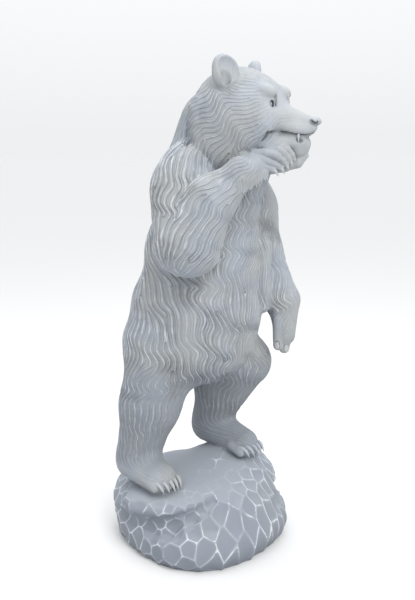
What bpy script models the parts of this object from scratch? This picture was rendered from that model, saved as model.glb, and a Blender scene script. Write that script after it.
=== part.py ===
"""Cast stone garden statue: a bear standing upright on a carved rock mound, its right paw
raised to its chin and its left arm hanging. One solid casting with a flat underside.

Metres, +Z up. The bear looks along -Y, its left side is +X, and the origin is the centre
of the flat underside. The head is turned a little to the bear's left.
"""
import math

import bmesh
import bpy
from mathutils import Matrix, Vector

# ------------------------------------------------------------------ sizes
TORSO_HALF_WIDTH = 0.193
TORSO_HALF_DEPTH = 0.206
CHEST_HALF_WIDTH = 0.178
BASE_RADIUS = 0.280
BASE_SHOULDER_HEIGHT = 0.17
HEAD_CENTRE = Vector((0.0, -0.177, 1.346))
HEAD_YAW = math.radians(14.0)          # turned to the bear's left
EAR_OUT, EAR_UP, EAR_SPLAY = 0.096, 0.086, 0.60
EYE_OUT = 0.050
ROCK_TURN = math.radians(-48.0)        # the mound's own axes about Z

BODY_VOXEL, BODY_BLEND = 0.011, 14     # the large masses melt into each other
SKIN_VOXEL, SKIN_BLEND = 0.007, 3      # paws, face and rock keep their shape
SMOOTH_FACTOR = 0.5
FACE_TARGET = 6800

STONE = (0.39, 0.42, 0.465, 1.0)

# ------------------------------------------------------------------ a clean scene
for old in list(bpy.data.objects):
    bpy.data.objects.remove(old, do_unlink=True)
scene = bpy.context.scene
scene.unit_settings.system = "METRIC"


def collection(name, helper=False):
    made = bpy.data.collections.new(name)
    scene.collection.children.link(made)
    made.hide_render = helper
    return made


statue = collection("bear_statue")
helpers = collection("cutters", helper=True)

stone = bpy.data.materials.new("cast_stone")
stone.use_nodes = True
shader = stone.node_tree.nodes["Principled BSDF"]
shader.inputs["Base Color"].default_value = STONE
shader.inputs["Roughness"].default_value = 0.86
shader.inputs["Metallic"].default_value = 0.0

# ------------------------------------------------------------------ building blocks
SEGMENTS, RINGS = 20, 12


def ball(bm, centre, radii, turn=None):
    """An ellipsoid: radii along its own axes, which turn sets."""
    basis = (turn or Matrix.Identity(3)).to_4x4()
    place = Matrix.Translation(centre) @ basis @ Matrix.Diagonal((*radii, 1.0))
    return bmesh.ops.create_uvsphere(
        bm, u_segments=SEGMENTS, v_segments=RINGS, radius=1.0, matrix=place
    )["verts"]


def limb(bm, start, end, start_radius, end_radius):
    """A tapering round-ended limb: the hull of two balls."""
    verts = []
    for point, radius in ((start, start_radius), (end, end_radius)):
        verts += ball(bm, Vector(point), (radius,) * 3)
    faces = {f for v in verts for f in v.link_faces}
    bmesh.ops.delete(bm, geom=list(faces), context="FACES_ONLY")
    hull = bmesh.ops.convex_hull(bm, input=verts, use_existing_faces=False)
    loose = [e for e in hull["geom_interior"] if isinstance(e, bmesh.types.BMVert)]
    bmesh.ops.delete(bm, geom=loose, context="VERTS")


def path(bm, points, radii):
    """A bent limb through several points."""
    for i in range(len(points) - 1):
        limb(bm, points[i], points[i + 1], radii[i], radii[i + 1])


HEAD_FORWARD = Vector((math.sin(HEAD_YAW), -math.cos(HEAD_YAW), 0.0))
HEAD_LEFT = Vector((math.cos(HEAD_YAW), math.sin(HEAD_YAW), 0.0))
UP = Vector((0.0, 0.0, 1.0))


def on_head(forward, left, up):
    return HEAD_CENTRE + forward * HEAD_FORWARD + left * HEAD_LEFT + up * UP


def head_turn(tilt=0.0, yaw=0.0):
    """Axes for a form on the head: tilt brings its front down, yaw turns it to the left."""
    forward = HEAD_FORWARD * math.cos(yaw) + HEAD_LEFT * math.sin(yaw)
    left = HEAD_LEFT * math.cos(yaw) - HEAD_FORWARD * math.sin(yaw)
    front = forward * math.cos(tilt) - UP * math.sin(tilt)
    top = UP * math.cos(tilt) + forward * math.sin(tilt)
    return Matrix((front, left, top)).transposed()


# ------------------------------------------------------------------ the body
def torso(bm):
    ball(bm, (0, 0.048, 0.625), (0.198, 0.205, 0.135))                        # hips
    ball(bm, (0, 0.012, 0.735), (TORSO_HALF_WIDTH, TORSO_HALF_DEPTH, 0.185))  # belly
    ball(bm, (0, -0.005, 0.82), (0.186, 0.194, 0.17))                         # waist
    ball(bm, (0, -0.018, 0.91), (CHEST_HALF_WIDTH, 0.178, 0.18))              # ribs
    ball(bm, (0, -0.028, 1.00), (0.174, 0.155, 0.15))                         # chest
    ball(bm, (0, -0.035, 1.07), (0.170, 0.127, 0.13))                         # shoulders
    limb(bm, (0, 0.030, 0.78), (-0.010, -0.014, 1.10), 0.176, 0.129)          # back
    limb(bm, (-0.012, -0.015, 1.10), (-0.015, -0.082, 1.285), 0.131, 0.103)   # nape
    limb(bm, (0, -0.10, 1.06), (0, -0.20, 1.22), 0.105, 0.078)                # throat


def standing_leg_masses(bm):
    """The bear's right leg, straight under the hip."""
    limb(bm, (-0.095, 0.055, 0.62), (-0.158, 0.060, 0.45), 0.124, 0.092)
    limb(bm, (-0.158, 0.060, 0.45), (-0.182, 0.085, 0.31), 0.090, 0.070)
    limb(bm, (-0.178, 0.112, 0.260), (-0.195, -0.015, 0.245), 0.060, 0.056)


def bent_leg_masses(bm):
    """The bear's left leg, its knee forward."""
    limb(bm, (0.10, 0.03, 0.62), (0.130, -0.085, 0.562), 0.107, 0.073)
    limb(bm, (0.130, -0.080, 0.55), (0.135, 0.060, 0.345), 0.076, 0.062)
    limb(bm, (0.105, 0.02, 0.53), (0.130, 0.055, 0.38), 0.080, 0.060)
    limb(bm, (0.132, 0.075, 0.305), (0.125, -0.085, 0.279), 0.060, 0.053)


TOE_SPREAD, TOE_RADIUS, CLAW_REACH, CLAW_DROP = 0.0215, 0.0145, 0.036, 0.028


def toes(bm, middle, forward):
    """Five toes in a row, each with a claw that curves down to the rock."""
    forward = forward.normalized()
    across = forward.cross(UP)
    for i in range(-2, 3):
        back = -0.006 * abs(i)
        toe = middle + across * (i * TOE_SPREAD) + forward * back
        ball(bm, toe, (TOE_RADIUS,) * 3)
        tip = toe + forward * CLAW_REACH - UP * CLAW_DROP
        limb(bm, toe + forward * 0.010, tip, 0.009, 0.005)


def feet(bm):
    """The toes of the right foot, then of the left one, which stands higher on the rock."""
    toes(bm, Vector((-0.195, -0.045, 0.232)), Vector((-0.10, -1.0, 0.0)))
    toes(bm, Vector((0.122, -0.112, 0.268)), Vector((-0.06, -1.0, 0.0)))


def hanging_arm(bm):
    """The bear's left arm."""
    ball(bm, (0.140, -0.070, 1.04), (0.095, 0.090, 0.115))
    limb(bm, (0.155, -0.075, 1.02), (0.190, -0.095, 0.90), 0.080, 0.061)
    limb(bm, (0.190, -0.095, 0.90), (0.188, -0.172, 0.765), 0.061, 0.060)
    limb(bm, (0.188, -0.178, 0.745), (0.165, -0.200, 0.632), 0.047, 0.034)


# finger paths along the jaw, on the head's axes: forward, left, up
FINGER_PATHS = (
    ((0.012, -0.080, -0.179), (0.052, -0.088, -0.165), (0.097, -0.086, -0.159), (0.130, -0.078, -0.173)),
    ((0.042, -0.078, -0.157), (0.084, -0.082, -0.139), (0.119, -0.076, -0.151), (0.143, -0.068, -0.166)),
    ((0.072, -0.072, -0.142), (0.107, -0.074, -0.127), (0.137, -0.067, -0.133), (0.157, -0.058, -0.149)),
    ((0.097, -0.066, -0.132), (0.128, -0.064, -0.119), (0.150, -0.057, -0.127), (0.167, -0.048, -0.143)),
    ((0.112, -0.058, -0.125), (0.138, -0.055, -0.111), (0.159, -0.047, -0.120), (0.175, -0.037, -0.137)),
)
FINGER_RADII = (0.020, 0.0155, 0.0145, 0.011)


def raised_arm_masses(bm):
    """The bear's right arm, folded up toward the jaw."""
    ball(bm, (-0.112, -0.070, 1.125), (0.088, 0.098, 0.125))
    limb(bm, (-0.135, -0.078, 1.10), (-0.190, -0.128, 0.968), 0.105, 0.091)
    limb(bm, (-0.200, -0.150, 0.968), (-0.168, -0.200, 1.09), 0.087, 0.063)
    limb(bm, (-0.168, -0.200, 1.09), (-0.112, -0.262, 1.158), 0.063, 0.053)


def raised_paw(bm):
    """The paw lies along the jaw, its five fingers side by side and the thumb under the chin."""
    limb(bm, (-0.112, -0.262, 1.155), (-0.055, -0.325, 1.176), 0.053, 0.040)
    for points in FINGER_PATHS:
        path(bm, [on_head(*p) for p in points], FINGER_RADII)
    limb(bm, on_head(0.05, -0.055, -0.165), on_head(0.150, -0.005, -0.160), 0.036, 0.022)
    limb(bm, on_head(0.135, -0.010, -0.165), on_head(0.180, 0.022, -0.136), 0.018, 0.010)


def head(bm):
    ball(bm, on_head(-0.032, 0, 0.005), (0.122, 0.112, 0.101), head_turn())
    ball(bm, on_head(0.020, 0, 0.055), (0.075, 0.070, 0.042), head_turn(tilt=0.32))
    ball(bm, on_head(0.048, 0, 0.004), (0.074, 0.080, 0.064), head_turn(tilt=0.30))
    for side in (-1, 1):
        ball(bm, on_head(0.084, side * EYE_OUT, 0.034), (0.032, 0.022, 0.016), head_turn(tilt=0.3))
        ball(bm, on_head(0.030, side * 0.060, -0.050), (0.090, 0.052, 0.075), head_turn())
        ball(bm, on_head(-0.030, side * 0.078, -0.060), (0.098, 0.052, 0.120), head_turn(tilt=-0.30))
        ball(bm, on_head(-0.040, side * 0.080, -0.130), (0.060, 0.045, 0.075), head_turn(tilt=-0.30))
        ball(bm, on_head(0.165, side * 0.020, -0.074), (0.045, 0.022, 0.022), head_turn(tilt=0.1))
        ball(bm, on_head(-0.015, side * EAR_OUT, EAR_UP), (0.026, 0.042, 0.051), head_turn(yaw=side * EAR_SPLAY))
    limb(bm, on_head(0.07, 0, -0.040), on_head(0.188, 0, -0.070), 0.063, 0.036)      # snout
    ball(bm, on_head(0.212, 0, -0.053), (0.018, 0.026, 0.014), head_turn(tilt=0.25))  # nose pad
    limb(bm, on_head(0.03, 0, -0.115), on_head(0.165, 0, -0.112), 0.053, 0.031)      # jaw


def in_rock(right, away, up):
    c, s = math.cos(ROCK_TURN), math.sin(ROCK_TURN)
    return Vector((right * c - away * s, right * s + away * c, up))


def rock(bm):
    turn = Matrix.Rotation(ROCK_TURN, 3, "Z")
    low, mid = BASE_SHOULDER_HEIGHT - 0.12, BASE_SHOULDER_HEIGHT - 0.06
    ball(bm, in_rock(0, 0.01, low), (BASE_RADIUS, 0.270, 0.125), turn)
    ball(bm, in_rock(0, -0.095, low - 0.005), (0.197, 0.203, 0.115), turn)
    ball(bm, in_rock(-0.01, 0.02, mid - 0.02), (0.272, 0.258, 0.125), turn)
    ball(bm, in_rock(-0.03, 0.01, mid), (0.253, 0.241, 0.113), turn)
    ball(bm, in_rock(0.092, 0.08, mid + 0.02), (0.156, 0.19, 0.128), turn)
    ball(bm, in_rock(0.175, -0.03, low + 0.005), (0.106, 0.12, 0.071), turn)


# ------------------------------------------------------------------ hollows
def ear_bowls(bm):
    """The ears are cupped on their front side."""
    for side in (-1, 1):
        turn = head_turn(yaw=side * EAR_SPLAY)
        middle = on_head(-0.015, side * EAR_OUT, EAR_UP) + turn.col[0] * 0.030 + UP * 0.004
        ball(bm, middle, (0.026, 0.031, 0.040), turn)


def mouth(bm):
    """The lips are parted along both sides of the muzzle."""
    for side in (-1, 1):
        limb(bm, on_head(0.105, side * 0.056, -0.092), on_head(0.195, side * 0.030, -0.087), 0.006, 0.006)


def below_ground(bm):
    place = Matrix.Translation((0, 0, -0.5)) @ Matrix.Diagonal((2, 2, 1, 1))
    bmesh.ops.create_cube(bm, size=1.0, matrix=place)


# ------------------------------------------------------------------ the casting
def shape_object(name, forms, group, first=None):
    """One object that holds the forms, on top of a finished shape if there is one."""
    bm = bmesh.new()
    for form in forms:
        form(bm)
    bmesh.ops.recalc_face_normals(bm, faces=bm.faces)
    if first is not None:
        bm.from_mesh(first)
    data = bpy.data.meshes.new(name)
    bm.to_mesh(data)
    bm.free()
    made = bpy.data.objects.new(name, data)
    group.objects.link(made)
    return made


def modifier(target, kind, **values):
    made = target.modifiers.new(kind.title(), kind)
    for key, value in values.items():
        setattr(made, key, value)
    return made


def finished_mesh(target):
    """The object's shape with its modifiers, as a mesh of its own."""
    bpy.context.view_layer.update()
    graph = bpy.context.evaluated_depsgraph_get()
    return bpy.data.meshes.new_from_object(target.evaluated_get(graph))


def helper_look(target):
    target.display_type = "WIRE"
    target.hide_render = True


# the large masses, softened where they meet
core = shape_object("body_masses", (torso, standing_leg_masses, bent_leg_masses, hanging_arm, raised_arm_masses), helpers)
helper_look(core)
modifier(core, "REMESH", mode="VOXEL", voxel_size=BODY_VOXEL, adaptivity=0.0)
modifier(core, "SMOOTH", factor=SMOOTH_FACTOR, iterations=BODY_BLEND)

# the whole statue: those masses with the head, the paws and the rock
bear = shape_object("bear_statue", (feet, raised_paw, head, rock), statue, first=finished_mesh(core))
bear.data.materials.append(stone)
hollows = shape_object("hollow_cutter", (ear_bowls, mouth), helpers)
helper_look(hollows)
ground = shape_object("ground_cutter", (below_ground,), helpers)
helper_look(ground)

modifier(bear, "REMESH", mode="VOXEL", voxel_size=SKIN_VOXEL, adaptivity=0.0, use_smooth_shade=False)
modifier(bear, "SMOOTH", factor=SMOOTH_FACTOR, iterations=SKIN_BLEND)
modifier(bear, "BOOLEAN", object=hollows, operation="DIFFERENCE", solver="EXACT")
dense = finished_mesh(bear)
dense.calc_loop_triangles()
modifier(bear, "DECIMATE", ratio=FACE_TARGET / len(dense.loop_triangles))
modifier(bear, "BOOLEAN", object=ground, operation="DIFFERENCE", solver="EXACT")
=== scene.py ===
"""Cast stone bear statue: the carved surface, the stone's finish, a plain studio and the camera.

The statue's surface is drawn from smooth forms (ellipsoids and tapering limbs) as a distance
field, turned into a mesh, and then carved: wavy locks of fur follow a flow field over the body,
and the mound is cut into shallow scoops with worn ridges between them. The surface is stored in
three bands that meet edge to edge.

Metres, +Z up. The bear looks along -Y, its left side is +X.
"""

import math

import bmesh
import bpy
import numpy as np
from mathutils import Matrix, Vector


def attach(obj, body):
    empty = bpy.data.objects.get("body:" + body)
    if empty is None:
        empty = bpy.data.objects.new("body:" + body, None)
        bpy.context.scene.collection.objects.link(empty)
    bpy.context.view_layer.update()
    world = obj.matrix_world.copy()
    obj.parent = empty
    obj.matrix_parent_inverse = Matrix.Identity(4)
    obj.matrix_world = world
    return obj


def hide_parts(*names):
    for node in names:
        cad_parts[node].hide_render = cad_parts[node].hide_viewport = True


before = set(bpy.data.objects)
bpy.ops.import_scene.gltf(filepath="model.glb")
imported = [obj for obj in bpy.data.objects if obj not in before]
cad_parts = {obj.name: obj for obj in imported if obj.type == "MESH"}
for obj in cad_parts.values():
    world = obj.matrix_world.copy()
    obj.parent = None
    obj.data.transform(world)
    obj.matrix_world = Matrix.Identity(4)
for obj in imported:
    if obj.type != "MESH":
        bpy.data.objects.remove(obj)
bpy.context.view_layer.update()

# ------------------------------------------------------------------ sizes
FINE_CELL = 0.0024      # grid of the carved surface
COARSE_CELL = 0.0070    # grid that carries the run of the fur
RUN_STEPS = 300            # smoothing steps of the fur's run
BANDS = ("low", "middle", "high")            # the surface is stored in three bands that meet edge to edge
MOST_FACES = 190000                          # triangles in a band

BODY_LOCK, ARM_LOCK, LEG_LOCK = 0.0225, 0.021, 0.0165      # width of one lock
HEAD_LOCK, FOOT_LOCK, HAND_LOCK = 0.0135, 0.0115, 0.012
BODY_RELIEF, ARM_RELIEF, LEG_RELIEF = 0.0030, 0.0029, 0.0017
HEAD_RELIEF, FOOT_RELIEF, HAND_RELIEF = 0.0018, 0.0009, 0.0012
LOCK_PEAK = 0.76                             # where a lock is highest, as a share of its width
STRAND_DRIFT = 2.6                           # how far the strands wander inside a lock
FACE_ZOOM, FACE_REACH = 0.48, 0.10           # the face has a finer grid

rng = np.random.default_rng(7)

# ------------------------------------------------------------------ axes
UP = np.array((0.0, 0.0, 1.0))
HEAD_YAW = math.radians(14.0)
HEAD_F = np.array((math.sin(HEAD_YAW), -math.cos(HEAD_YAW), 0.0))
HEAD_L = np.array((math.cos(HEAD_YAW), math.sin(HEAD_YAW), 0.0))
HEAD_C = np.array((0.0, -0.177, 1.346))
VIEW_TURN = math.radians(-48.0)              # the mound's own axes: right, away, up
VIEW_R = np.array((math.cos(VIEW_TURN), math.sin(VIEW_TURN), 0.0))
VIEW_A = np.array((-math.sin(VIEW_TURN), math.cos(VIEW_TURN), 0.0))


def unit(v):
    v = np.asarray(v, float)
    return v / np.linalg.norm(v)


def hp(f, l, u):
    """A point on the head's axes: forward, left, up."""
    return HEAD_C + f * HEAD_F + l * HEAD_L + u * UP


def hd(f, l, u):
    """A direction on the head's axes."""
    return f * HEAD_F + l * HEAD_L + u * UP


def rp(right, away, up):
    """A point on the mound's axes."""
    return right * VIEW_R + away * VIEW_A + up * UP


def head_axes(tilt=0.0, yaw=0.0):
    """Rows: front, left, top. tilt brings the front down, yaw turns it to the left."""
    forward = HEAD_F * math.cos(yaw) + HEAD_L * math.sin(yaw)
    left = HEAD_L * math.cos(yaw) - HEAD_F * math.sin(yaw)
    return np.array((forward * math.cos(tilt) - UP * math.sin(tilt), left, UP * math.cos(tilt) + forward * math.sin(tilt)))


VIEW_AXES = np.array((VIEW_R, VIEW_A, UP))

# ------------------------------------------------------------------ forms
# lock: width of the fur's locks there. relief: their height. flow: the way the fur lies.
FORMS = []


def form(kind, group, blend, flow, lock, relief, cut, near, reach, **more):
    FORMS.append(dict(kind=kind, group=group, blend=blend, flow=unit(flow), lock=lock, relief=relief,
                      cut=cut, near=np.asarray(near, float), reach=reach, **more))


def ball(group, centre, radii, blend=0.03, flow=(0, 0, -1), axes=None, lock=BODY_LOCK, relief=BODY_RELIEF, cut=False):
    form("ball", group, blend, flow, lock, relief, cut, centre, max(radii),
         c=np.asarray(centre, float), r=np.asarray(radii, float), axes=axes)


def limb(group, a, b, ra, rb, blend=0.03, flow=None, lock=BODY_LOCK, relief=BODY_RELIEF, cut=False):
    a, b = np.asarray(a, float), np.asarray(b, float)
    form("limb", group, blend, b - a if flow is None else flow, lock, relief, cut, (a + b) / 2,
         np.linalg.norm(b - a) / 2 + max(ra, rb), a=a, b=b, ra=ra, rb=rb)


def chain(group, points, radii, blend=0.004, inner=0.003, **more):
    for i in range(len(points) - 1):
        limb(group, points[i], points[i + 1], radii[i], radii[i + 1], blend if i == 0 else inner, **more)


JOINS = (("torso", 0), ("arml", .012), ("hand", .006), ("armr", .015), ("paw", .006), ("head", .004), ("rock", .006))
WIDEST_BLEND = .055

# ------------------------------------------------------------------ the distance field
BLOCK = 0.09


def form_distance(f, p):
    if f["kind"] == "ball":
        q = p - f["c"]
        if f["axes"] is not None:
            q = q @ f["axes"].T
        q /= f["r"]
        size = np.sqrt((q * q).sum(1))
        q /= f["r"]
        return size * (size - 1.0) / np.maximum(np.sqrt((q * q).sum(1)), 1e-6)
    ab = f["b"] - f["a"]
    q = p - f["a"]
    t = np.clip(q @ ab / (ab @ ab), 0, 1)
    q -= t[:, None] * ab
    return np.sqrt((q * q).sum(1)) - (f["ra"] + (f["rb"] - f["ra"]) * t)


def soft_min(a, b, k):
    h = np.clip(0.5 + 0.5 * (b - a) / k, 0, 1)
    return b + (a - b) * h - k * h * (1 - h)


def by_block(points):
    """Runs over the points in small cubes, with the forms that matter in each."""
    cell = np.floor(points / BLOCK).astype(np.int64) + 64
    code = cell[:, 0] + (cell[:, 1] << 8) + (cell[:, 2] << 16)
    order = np.argsort(code, kind="stable")
    sorted_code = code[order]
    starts = np.flatnonzero(np.r_[True, sorted_code[1:] != sorted_code[:-1]])
    ends = np.r_[starts[1:], len(order)]
    half = BLOCK * 0.8661
    for a, b in zip(starts, ends):
        index = order[a:b]
        middle = (cell[index[0]] - 64 + 0.5) * BLOCK
        yield index, [f for f in FORMS if np.linalg.norm(f["near"] - middle) < f["reach"] + WIDEST_BLEND + half]


def field(points):
    """Signed distance to the smooth statue, before its carving."""
    out = np.full(len(points), 0.3)
    for index, near in by_block(points):
        p = points[index]
        groups = {}
        for f in near:
            d = form_distance(f, p)
            now = groups.get(f["group"])
            if f["cut"]:
                if now is not None:
                    groups[f["group"]] = -soft_min(-now, d, f["blend"])
            else:
                groups[f["group"]] = d if now is None else soft_min(now, d, f["blend"])
        whole = None
        for name, k in JOINS:
            if name in groups:
                whole = groups[name] if whole is None else soft_min(whole, groups[name], k)
        if whole is not None:
            for f in near:
                if f["group"] == "gap":
                    whole = -soft_min(-whole, form_distance(f, p), f["blend"])
            out[index] = np.minimum(whole, 0.3)
    return np.maximum(out, -points[:, 2])


def skin(f, u, side):
    """How far to the side the head's skin lies at a point of its profile."""
    l = np.linspace(0, .15, 301)
    points = np.array([hp(f, side * x, u) for x in l])
    whole = None
    for form_ in FORMS:
        if form_["group"] == "head":
            d = form_distance(form_, points)
            if form_["cut"]:
                whole = -soft_min(-whole, d, form_["blend"])
            else:
                whole = d if whole is None else soft_min(whole, d, form_["blend"])
    inside = np.flatnonzero(whole < 0)
    return float(l[inside[-1]]) if len(inside) else 0.0


# ------------------------------------------------------------------ the bear and its mound
# the trunk
DOWN = (0, -0.34, -1)
ball("torso", (0, .048, .625), (.198, .205, .135), .04, flow=DOWN)
ball("torso", (0, .012, .735), (.193, .208, .185), .05, flow=DOWN)
ball("torso", (0, -.018, .91), (.178, .176, .18), .05, flow=DOWN)
ball("torso", (0, -.035, 1.07), (.170, .125, .13), .05, flow=DOWN)
limb("torso", (-.012, -.015, 1.10), (-.015, -.086, 1.290), .128, .106, .05, flow=(0, .25, -1), lock=.017, relief=.0022)
limb("torso", (0, -.10, 1.06), (0, -.20, 1.22), .10, .075, .05, flow=(0, 0, -1), relief=.0020)

# the right hind leg, straight under the hip, and its foot
LEG = dict(lock=LEG_LOCK, relief=LEG_RELIEF)
limb("torso", (-.095, .055, .62), (-.158, .060, .45), .122, .090, .04, lock=.0195, relief=.0024)
limb("torso", (-.158, .060, .45), (-.182, .085, .31), .088, .068, .03, **LEG)
limb("torso", (-.178, .112, .260), (-.195, -.012, .242), .060, .050, .03, lock=FOOT_LOCK, relief=FOOT_RELIEF)
# the left hind leg, its knee forward
limb("torso", (.10, .03, .62), (.130, -.085, .562), .105, .072, .04, lock=.0195, relief=.0022)
limb("torso", (.130, -.080, .55), (.135, .06, .345), .075, .060, .03, **LEG)
limb("torso", (.105, .02, .53), (.130, .055, .38), .080, .060, .03, **LEG)
limb("torso", (.132, .075, .305), (.128, -.078, .277), .060, .047, .03, lock=FOOT_LOCK, relief=FOOT_RELIEF)

TOE_SPREAD, TOE_RADIUS = .0215, .0148
FEET = ((np.array((-.195, -.045, .232)), unit((-.10, -1, 0))), (np.array((.122, -.112, .268)), unit((-.06, -1, 0))))
for middle, ahead in FEET:
    across = np.cross(ahead, UP)
    for i in range(-2, 3):
        toe = middle + across * (i * TOE_SPREAD) - ahead * (.006 * abs(i))
        limb("torso", toe - ahead * .035 + UP * .010, toe + ahead * .008 - UP * .003, .0145, TOE_RADIUS, .003, flow=ahead, lock=.009, relief=.0006)

# the hanging arm
ARM = dict(lock=ARM_LOCK, relief=.0024)
ball("arml", (.140, -.070, 1.04), (.095, .090, .115), .03, flow=(.1, 0, -1), **ARM)
limb("arml", (.155, -.075, 1.02), (.190, -.095, .90), .080, .060, .03, **ARM)
limb("arml", (.190, -.095, .90), (.188, -.172, .765), .059, .055, .03, **ARM)
limb("arml", (.192, -.182, .750), (.173, -.204, .652), .050, .031, .02, lock=HAND_LOCK, relief=HAND_RELIEF)
limb("arml", rp(.186, -.03, .93), rp(.194, -.035, .752), .034, .022, .03, flow=(.1, 0, -1), lock=ARM_LOCK, relief=.0014)
# its four thick fingers: knuckle and tip on the view's axes, tip radius
HAND_FINGERS = (
    (rp(.246, -.014, .705), rp(.2460, -.021, .622), .0160),
    (rp(.268, -.008, .700), rp(.2650, -.016, .612), .0165),
    (rp(.275, .006, .700), rp(.2700, .003, .624), .0152),
    (rp(.250, .018, .705), rp(.2480, .014, .632), .0140),
)
HAND_NAILS = []                              # centre, side, along, out
for knuckle, tip, r in HAND_FINGERS:
    limb("hand", knuckle, tip, .019, r, .003, lock=.008, relief=.0003)
    along = unit(tip - knuckle)
    out = tip - rp(.257, .004, tip[2])
    out = unit(out - along * (out @ along))
    HAND_NAILS.append((tip - along * .001 + out * (r - .0022), np.cross(along, out), along, out))
for at, side, along, out in HAND_NAILS:
    ball("hand", at, (.0100, .0150, .0042), .0015, axes=np.array((side, along, out)), lock=.01, relief=0, cut=True)

# the raised arm
ball("armr", (-.112, -.070, 1.125), (.088, .098, .125), .05, flow=(-.1, 0, -1), lock=ARM_LOCK, relief=ARM_RELIEF)
limb("armr", (-.135, -.078, 1.10), (-.190, -.128, .968), .104, .090, .04, lock=ARM_LOCK, relief=ARM_RELIEF)
limb("armr", (-.200, -.150, .968), (-.168, -.200, 1.09), .086, .062, .02, flow=(-.032, .05, -.122), lock=ARM_LOCK, relief=ARM_RELIEF)
limb("armr", (-.168, -.200, 1.09), (-.107, -.257, 1.163), .062, .041, .03, flow=(-.056, .062, -.068), lock=.0165, relief=.0024)
limb("armr", (-.107, -.257, 1.163), hp(.092, -.062, -.152), .041, .023, .02, flow=(-.057, .063, -.050), lock=.0120, relief=.0012)

# the raised paw's fingers: root to claw base, then the claw's tip, on the head's axes, and size
FINGER_PATHS = (
    ((.012, -.104, -.154), (.044, -.103, -.151), (.082, -.092, -.160), (.105, -.081, -.167), (.123, -.076, -.174), (.138, -.072, -.192), 1.0),
    ((.038, -.098, -.137), (.068, -.097, -.141), (.096, -.088, -.145), (.126, -.073, -.159), (.141, -.066, -.169), (.150, -.063, -.186), 1.0),
    ((.070, -.089, -.129), (.106, -.085, -.129), (.129, -.077, -.135), (.145, -.066, -.148), (.153, -.058, -.161), (.158, -.055, -.178), .95),
    ((.100, -.074, -.122), (.132, -.067, -.120), (.146, -.063, -.129), (.157, -.056, -.142), (.162, -.050, -.153), (.165, -.047, -.168), .80),
    ((.112, -.064, -.116), (.139, -.058, -.113), (.155, -.053, -.121), (.165, -.047, -.134), (.168, -.041, -.145), (.169, -.038, -.157), .70),
)
for *path, size in FINGER_PATHS:
    chain("paw", [hp(*p) for p in path[:5]], [r * size for r in (.0110, .0130, .0124, .0108, .0085)], .0025, .002, lock=.006, relief=.0006)
limb("paw", hp(.045, -.060, -.166), hp(.135, -.032, -.158), .033, .025, .006, lock=.010, relief=.0005)
limb("paw", hp(.120, -.020, -.166), hp(.165, -.008, -.157), .019, .015, .006, lock=.010, relief=.0003)
limb("paw", hp(.165, -.008, -.157), hp(.183, .006, -.138), .015, .009, .004, lock=.010, relief=.0003)
# short tufts along the forearm's lower edge
TUFTS = 17
for n in range(TUFTS):
    t = n / (TUFTS - 1)
    root = np.array((-.129, -.278, 1.137)) * (1 - t) + np.array((-.0550, -.3020, 1.172)) * t
    limb("paw", root, root + np.array((.003 * math.sin(5 * n), -.003, -.024 + .004 * math.sin(3 * n))), .0060, .0020, .0015,
         lock=.006, relief=.0004)

# the head
BACK = hd(-1, 0, -.42)
FUR = dict(lock=.0150, relief=.0021)
ball("head", hp(-.032, 0, .003), (.111, .108, .099), .03, BACK, head_axes(), lock=.0125, relief=.0014)
ball("head", hp(.020, 0, .048), (.075, .068, .042), .03, hd(-1, 0, .1), head_axes(.32), lock=.009, relief=.0007)
ball("head", hp(.048, 0, .000), (.074, .080, .064), .03, hd(-1, 0, 0), head_axes(.30), lock=.009, relief=.0007)
for s in (-1, 1):
    ball("head", hp(.088, s * .050, .035), (.030, .024, .019), .012, hd(-1, 0, .2), head_axes(.3), lock=.008, relief=.0004)
    ball("head", hp(.030, s * .060, -.050), (.090, .052, .075), .03, BACK, head_axes(), lock=.0125, relief=.0018)
    ball("head", hp(-.030, s * .074, -.060), (.098, .052, .120), .03, hd(-1, 0, -.75), head_axes(-.30), **FUR)
    ball("head", hp(-.036, s * .076, -.130), (.058, .045, .075), .03, hd(-.8, 0, -1), head_axes(-.30), **FUR)
    # the ruff's proud rear edge
    chain("head", [hp(-.080, s * .086, .026), hp(-.094, s * .095, .006), hp(-.104, s * .099, -.010), hp(-.101, s * .101, -.050),
                   hp(-.096, s * .101, -.078), hp(-.089, s * .099, -.116), hp(-.081, s * .096, -.148), hp(-.068, s * .090, -.184)],
          (.014, .017, .019, .019, .019, .018, .017, .013), .020, .012, flow=hd(-1, 0, -.9), lock=.011, relief=.0017)
    ball("head", hp(-.014, s * .095, .083), (.024, .040, .046), .010, hd(-.2, 0, 1), head_axes(0, s * .60), lock=.008, relief=.0005)
    tip = .104 if s < 0 else .093
    ball("head", hp(-.022, s * .099, tip), (.017, .028, .028), .008, hd(-.2, 0, 1), head_axes(0, s * .60), lock=.008, relief=.0005)
limb("head", hp(.07, 0, -.038), hp(.182, 0, -.0565), .060, .0285, .025, hd(-1, 0, 0), lock=.008, relief=.0004)
for s in (-1, 1):
    ball("head", hp(.162, s * .022, -.0665), (.043, .0235, .0200), .012, hd(-1, 0, 0), head_axes(.1, -s * .2), lock=.008, relief=.0003)
    ball("head", hp(.085, s * .050, -.034), (.045, .026, .026), .016, hd(-1, 0, 0), head_axes(.2, -s * .3), lock=.008, relief=.0006)
    # the lower jaw, full and almost flush with the upper lip
    ball("head", hp(.148, s * .022, -.104), (.046, .025, .022), .008, hd(-1, 0, 0), head_axes(0, -s * .22), lock=.008, relief=.0003)
    ball("head", hp(.105, s * .040, -.110), (.050, .028, .028), .012, hd(-1, 0, 0), head_axes(0, -s * .22), lock=.008, relief=.0005)
    ball("head", hp(.076, s * .056, -.112), (.036, .021, .019), .012, hd(-1, 0, 0), head_axes(), lock=.009, relief=.0006)
limb("head", hp(.03, 0, -.115), hp(.160, 0, -.112), .052, .030, .015, hd(-1, 0, 0), lock=.009, relief=.0004)
ball("head", hp(.174, 0, -.112), (.020, .022, .021), .010, hd(-1, 0, 0), head_axes(), lock=.009, relief=.0002)
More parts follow.
